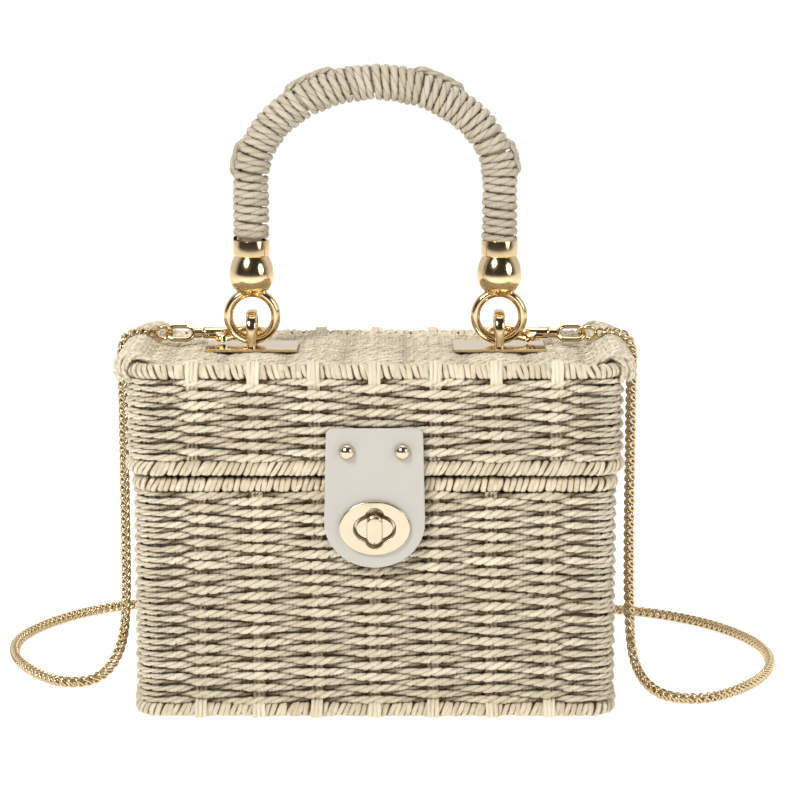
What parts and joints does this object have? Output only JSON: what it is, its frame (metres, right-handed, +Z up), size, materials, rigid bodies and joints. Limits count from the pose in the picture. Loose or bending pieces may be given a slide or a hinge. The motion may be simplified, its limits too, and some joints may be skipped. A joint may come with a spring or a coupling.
{
  "type": "basket box bag",
  "caption": "Box handbag of woven straw rope with a hinged lid, wrapped arch handle on rings, leather tab with a turn lock and a clip-on chain strap.",
  "frame": {"origin": "middle of the base's flat underside", "axes": "+Z up, +X to the right seen from the front, +Y to the back, where the lid's hinge is"},
  "size_m": [0.3427, 0.1977, 0.2692],
  "materials": {
    "straw_rope": "twisted paper straw, dry and slightly glossy",
    "lining_cloth": "plain cotton",
    "frame_wire": "plain wire",
    "ivory_leather": "smooth, faint grain",
    "core": "plain",
    "gold_metal": "polished pale gold plating"
  },
  "bodies": {
    "basket": {"body_weave": "straw_rope", "base_weave": "straw_rope", "base_rim": "straw_rope", "body_rim": "straw_rope", "body_corner_posts": "frame_wire", "body_lining": "lining_cloth", "hinge_lashing_left": "straw_rope", "hinge_lashing_middle": "straw_rope", "hinge_lashing_right": "straw_rope", "lock_base": "gold_metal", "lock_washer": "gold_metal", "chain_lower": "gold_metal"},
    "lid": {"lid_wall_weave": "straw_rope", "lid_top_weave": "straw_rope", "lid_rim": "straw_rope", "lid_top_rim": "straw_rope", "lid_corner_posts": "frame_wire", "lid_lining": "lining_cloth", "lock_tab": "ivory_leather", "tab_rivet_left": "gold_metal", "tab_rivet_right": "gold_metal", "tab_rivet_washer_left": "gold_metal", "tab_rivet_washer_right": "gold_metal", "staple_plate_left": "gold_metal", "staple_plate_right": "gold_metal", "staple_left": "gold_metal", "staple_right": "gold_metal", "staple_washer_left": "gold_metal", "staple_washer_right": "gold_metal", "snap_hook_left": "gold_metal", "snap_hook_right": "gold_metal", "trigger_pin_left": "gold_metal", "trigger_pin_right": "gold_metal", "chain_upper_left": "gold_metal", "chain_upper_right": "gold_metal"},
    "flap": {"lock_plate": "gold_metal", "lock_plate_back": "gold_metal"},
    "turn_button": {"turn_button": "gold_metal"},
    "handle": {"handle_core": "core", "handle_wrap": "straw_rope", "handle_accent_cord": "straw_rope", "handle_cap_left": "gold_metal", "handle_cap_right": "gold_metal"},
    "trigger_left": {"trigger_left": "gold_metal"},
    "trigger_right": {"trigger_right": "gold_metal"},
    "swivel_left": {"swivel_eye_left": "gold_metal", "jump_ring_left": "gold_metal"},
    "swivel_right": {"swivel_eye_right": "gold_metal", "jump_ring_right": "gold_metal"}
  },
  "joints": [
    {"name": "lid_hinge", "type": "hinge", "parent": "basket", "child": "lid", "pos_m": [0, 0.0484, 0.1051], "axis": [-1, 0, 0], "range_deg": [0, 100]},
    {"name": "tab_lift", "type": "hinge", "parent": "lid", "child": "flap", "pos_m": [0, -0.0518, 0.1095], "axis": [-1, 0, 0], "range_deg": [0, 104], "deforming": ["lock_tab"]},
    {"name": "turn_button", "type": "hinge", "parent": "basket", "child": "turn_button", "pos_m": [0, -0.056, 0.0817], "axis": [0, 1, 0], "range_deg": [0, 90]},
    {"name": "handle_swing", "type": "hinge", "parent": "lid", "child": "handle", "pos_m": [0, 0, 0.1508], "axis": [1, 0, 0], "range_deg": [-45, 70]},
    {"name": "left_trigger", "type": "hinge", "parent": "lid", "child": "trigger_left", "pos_m": [-0.0656, 0.00512, 0.15096], "axis": [0, -0.4226, 0.9063], "range_deg": [0, 25], "stiffness_Nm_per_rad": 0.02, "springref_deg": -17.19},
    {"name": "right_trigger", "type": "hinge", "parent": "lid", "child": "trigger_right", "pos_m": [0.0656, 0.00512, 0.15096], "axis": [0, 0.4226, -0.9063], "range_deg": [0, 25], "stiffness_Nm_per_rad": 0.02, "springref_deg": -17.19},
    {"name": "left_swivel", "type": "hinge", "parent": "lid", "child": "swivel_left", "pos_m": [-0.0734, 0.0082, 0.1524], "axis": [1, 0, 0], "range_deg": [-30, 30]},
    {"name": "right_swivel", "type": "hinge", "parent": "lid", "child": "swivel_right", "pos_m": [0.0734, 0.0082, 0.1524], "axis": [1, 0, 0], "range_deg": [-30, 30]}
  ]
}
